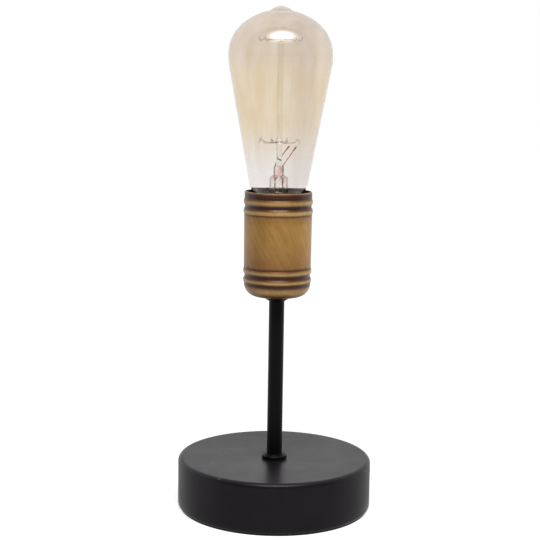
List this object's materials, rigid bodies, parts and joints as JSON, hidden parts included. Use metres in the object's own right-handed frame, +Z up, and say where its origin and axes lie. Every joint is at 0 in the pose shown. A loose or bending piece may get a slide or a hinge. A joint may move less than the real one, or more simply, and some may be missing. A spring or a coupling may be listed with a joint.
{
  "type": "table lamp",
  "caption": "Table lamp with a low round black base, a slim upright tube, a beaded brass-coloured socket cover and a bare pear-shaped amber bulb that screws out.",
  "frame": {"origin": "centre of the pad's underside, on the table", "axes": "+Z up along the tube, +Y to the back where the cable enters, -Y to the pictured front"},
  "size_m": [0.12, 0.1218, 0.3082],
  "materials": {
    "felt_black": "matte felt",
    "base_black": "satin powder coat",
    "ballast_iron": "as cast",
    "plate_steel": "zinc plated",
    "screw_steel": "zinc plated",
    "bushing_black": "moulded",
    "block_white": "moulded",
    "contact_brass": "plain stamped",
    "tinned_metal": "tinned",
    "lead_brown": "extruded",
    "lead_blue": "extruded",
    "lead_green": "extruded",
    "stem_black": "satin powder coat",
    "cover_brass": "antique, brushed",
    "holder_black": "moulded",
    "carrier_white": "fired, smooth",
    "insulator_black": "glassy",
    "cap_metal": "rolled sheet",
    "cement_grey": "cured paste",
    "amber_glass": "thin amber coating, clearer at the neck",
    "filament_carbon": "fine drawn wire",
    "lead_in_copper": "drawn wire",
    "support_wire": "fine drawn wire",
    "clear_glass": "clear"
  },
  "bodies": {
    "stand": {"base_pad": "felt_black", "base_shell": "base_black", "base_weight": "ballast_iron", "bottom_plate": "plate_steel", "plate_screws": "screw_steel", "block_screws": "screw_steel", "earth_screw": "screw_steel", "cable_bushing": "bushing_black", "terminal_block": "block_white", "terminal_barrels": "contact_brass", "pole_screws": "screw_steel", "earth_lug": "tinned_metal", "live_lead": "lead_brown", "neutral_lead": "lead_blue", "earth_lead": "lead_green", "stem_tube": "stem_black", "foot_collar": "stem_black", "head_collar": "stem_black", "clamp_washer": "screw_steel", "base_nut": "screw_steel", "socket_cover": "cover_brass", "cover_washer": "screw_steel", "cover_nut": "screw_steel", "holder_cap": "holder_black", "grub_screw": "screw_steel", "holder_body": "holder_black", "contact_rivets": "contact_brass", "contact_carrier": "carrier_white", "centre_contact": "contact_brass", "screw_shell": "contact_brass", "live_terminal": "contact_brass", "neutral_terminal": "contact_brass", "terminal_screws": "screw_steel"},
    "bulb_carrier": {"bulb_contact": "tinned_metal"},
    "bulb": {"cap_insulator": "insulator_black", "bulb_cap": "cap_metal", "cap_cement": "cement_grey", "glass_envelope": "amber_glass", "filament": "filament_carbon", "lead_in_wires": "lead_in_copper", "upper_hooks": "support_wire", "lower_hooks": "support_wire", "support_rod": "clear_glass", "stem_flare": "clear_glass"}
  },
  "joints": [
    {"name": "bulb_lift", "type": "slide", "parent": "stand", "child": "bulb_carrier", "axis": [0, 0, 1], "range_m": [0, 0.01271]},
    {"name": "bulb_turn", "type": "hinge", "parent": "bulb_carrier", "child": "bulb", "pos_m": [0, 0, 0.18], "axis": [0, 0, 1], "range_deg": [0, 1260]}
  ],
  "couplings": [
    {"joint": "bulb_lift", "follows": "bulb_turn", "m_per_rad": 0.00057757}
  ]
}
